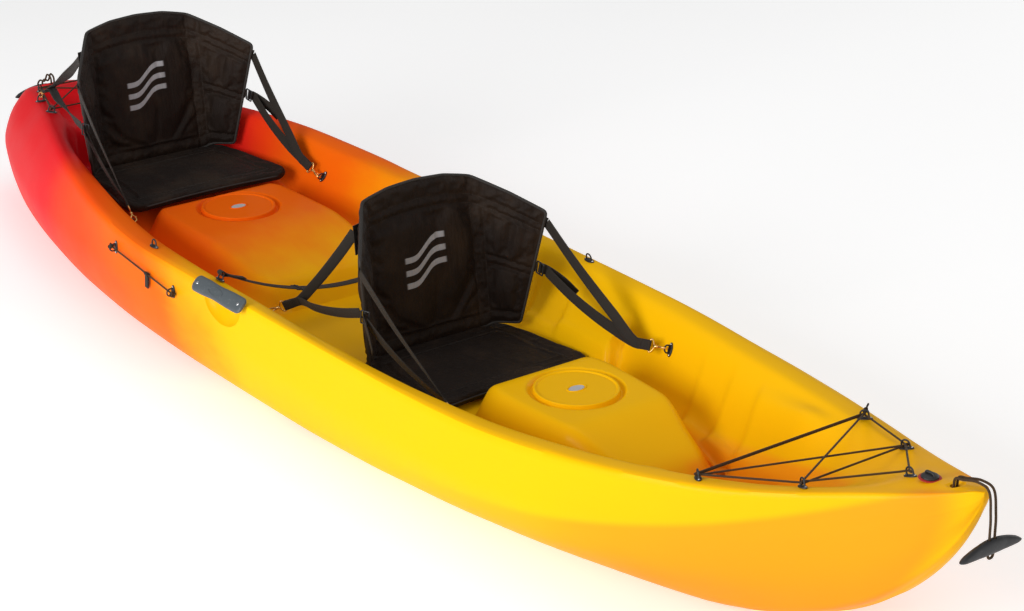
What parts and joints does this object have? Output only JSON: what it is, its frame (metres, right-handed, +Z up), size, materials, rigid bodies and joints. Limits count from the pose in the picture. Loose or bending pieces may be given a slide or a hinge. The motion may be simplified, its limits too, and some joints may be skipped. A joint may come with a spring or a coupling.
{
  "type": "tandem sit-on-top kayak",
  "caption": "Open two-person moulded kayak with folding padded seats on clip-in straps, laced deck cord, carry toggles, side grips and a paddle keeper.",
  "frame": {"origin": "middle of the keel's flat strip, on the ground plane", "axes": "+X to the bow, +Y to port, +Z up"},
  "size_m": [3.716, 0.9078, 0.6264],
  "materials": {
    "hull_shell": "satin moulded plastic, red at the stern blending to yellow at the bow",
    "seat_cloth": "dark brown-black coated nylon with sewn channels",
    "webbing": "black woven webbing",
    "cord": "black braided cord",
    "black_fitting": "black moulded nylon",
    "grip_plastic": "grey moulded plastic",
    "brass": "polished brass"
  },
  "bodies": {
    "hull": {"hull": "hull_shell", "bow_toggle_rope": "cord", "stern_toggle_rope": "cord", "bow_deck_cord": "cord", "stern_deck_cord": "cord", "keeper_cord": "cord", "bow_eye_aft_port": "black_fitting", "bow_eye_aft_starboard": "black_fitting", "bow_eye_mid_port": "black_fitting", "bow_eye_mid_starboard": "black_fitting", "bow_eye_centre": "black_fitting", "stern_eye_aft_port": "black_fitting", "stern_eye_aft_starboard": "black_fitting", "stern_eye_fwd_port": "black_fitting", "stern_eye_fwd_starboard": "black_fitting", "rim_eye_port": "black_fitting", "rim_eye_starboard": "black_fitting", "mid_eye_port": "black_fitting", "mid_eye_starboard": "black_fitting", "keeper_eye_aft": "black_fitting", "keeper_eye_fwd": "black_fitting", "front_seat_port_eye_front": "black_fitting", "front_seat_port_eye_rear": "black_fitting", "front_seat_starboard_eye_front": "black_fitting", "front_seat_starboard_eye_rear": "black_fitting", "rear_seat_port_eye_front": "black_fitting", "rear_seat_port_eye_rear": "black_fitting", "rear_seat_starboard_eye_front": "black_fitting", "rear_seat_starboard_eye_rear": "black_fitting", "side_grip_port": "grip_plastic", "side_grip_starboard": "grip_plastic", "front_seat_pad": "seat_cloth", "rear_seat_pad": "seat_cloth", "front_seat_port_strap_front": "webbing", "front_seat_port_strap_rear": "webbing", "front_seat_starboard_strap_front": "webbing", "front_seat_starboard_strap_rear": "webbing", "rear_seat_port_strap_front": "webbing", "rear_seat_port_strap_rear": "webbing", "rear_seat_starboard_strap_front": "webbing", "rear_seat_starboard_strap_rear": "webbing", "mid_strap": "webbing", "front_seat_port_hook_front": "brass", "front_seat_port_hook_rear": "brass", "front_seat_starboard_hook_front": "brass", "front_seat_starboard_hook_rear": "brass", "rear_seat_port_hook_front": "brass", "rear_seat_port_hook_rear": "brass", "rear_seat_starboard_hook_front": "brass", "rear_seat_starboard_hook_rear": "brass"},
    "front_seat_back": {"front_seat_back": "seat_cloth", "front_seat_port_buckle": "black_fitting", "front_seat_starboard_buckle": "black_fitting"},
    "rear_seat_back": {"rear_seat_back": "seat_cloth", "rear_seat_port_buckle": "black_fitting", "rear_seat_starboard_buckle": "black_fitting"},
    "bow_toggle": {"bow_toggle": "black_fitting"},
    "stern_toggle": {"stern_toggle": "black_fitting"},
    "drain_plug": {"drain_plug": "black_fitting"},
    "keeper_tab": {"keeper_tab": "webbing"}
  },
  "joints": [
    {"name": "front_seat_fold", "type": "hinge", "parent": "hull", "child": "front_seat_back", "pos_m": [0.104, 0, 0.152], "axis": [0, 1, 0], "range_deg": [-24, 6], "deforming": ["front_seat_port_strap_front", "front_seat_port_strap_rear", "front_seat_starboard_strap_front", "front_seat_starboard_strap_rear"]},
    {"name": "rear_seat_fold", "type": "hinge", "parent": "hull", "child": "rear_seat_back", "pos_m": [-1.192, 0, 0.248], "axis": [0, 1, 0], "range_deg": [-24, 6], "deforming": ["rear_seat_port_strap_front", "rear_seat_port_strap_rear", "rear_seat_starboard_strap_front", "rear_seat_starboard_strap_rear"]},
    {"name": "bow_toggle_swing", "type": "hinge", "parent": "hull", "child": "bow_toggle", "pos_m": [1.846, 0, 0.453], "axis": [0, -1, 0], "range_deg": [0, 75], "deforming": ["bow_toggle_rope"]},
    {"name": "stern_toggle_swing", "type": "hinge", "parent": "hull", "child": "stern_toggle", "pos_m": [-1.846, 0, 0.297], "axis": [0, 1, 0], "range_deg": [0, 75], "deforming": ["stern_toggle_rope"]},
    {"name": "drain_plug_turn", "type": "hinge", "parent": "hull", "child": "drain_plug", "pos_m": [1.69, 0, 0.41], "axis": [0, 0, 1], "range_deg": [0, 330]},
    {"name": "keeper_tab_swing", "type": "hinge", "parent": "hull", "child": "keeper_tab", "pos_m": [-0.46821, -0.43777, 0.23304], "axis": [-0.9967, 0.0287, 0.0764], "range_deg": [0, 80]}
  ]
}
